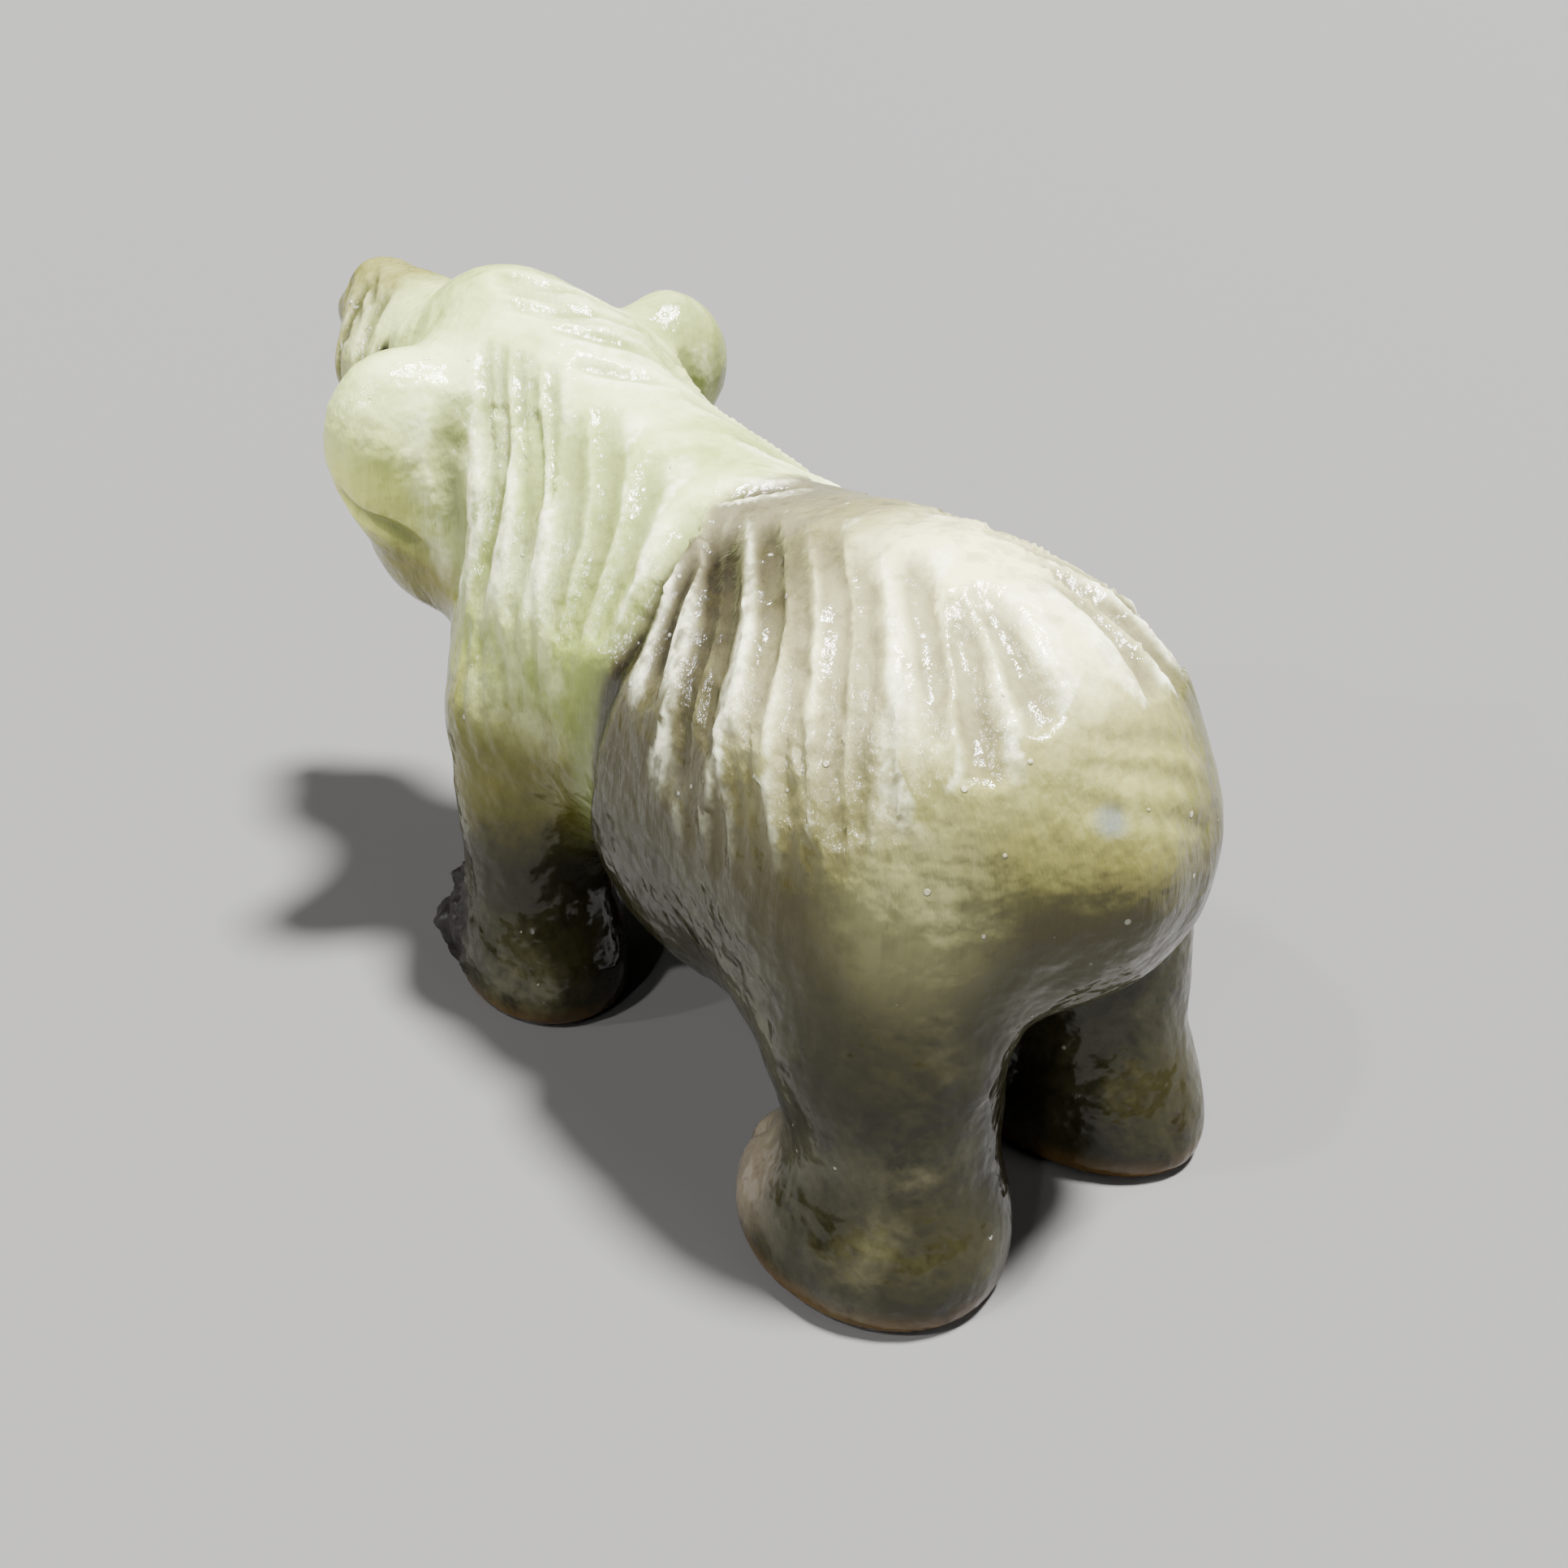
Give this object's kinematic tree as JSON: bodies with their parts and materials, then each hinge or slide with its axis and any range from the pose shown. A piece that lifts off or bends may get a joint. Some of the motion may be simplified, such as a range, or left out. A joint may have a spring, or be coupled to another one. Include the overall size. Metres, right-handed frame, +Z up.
{
  "type": "polar bear figurine",
  "caption": "Small standing polar bear carved from one piece of grey-green labradorite, head raised, coat cut in furrows, on flat soles.",
  "frame": {"origin": "on the ground, under the middle of the bear's bounding box", "axes": "+Z up; the bear looks along -Y; its left side is +X; it stands on its four soles at z = 0"},
  "size_m": [0.0222, 0.0576, 0.0316],
  "materials": {
    "labradorite": "polished stone, waxy gloss, grey-green to brown"
  },
  "bodies": {
    "root": {"bear": "labradorite"}
  },
  "joints": []
}
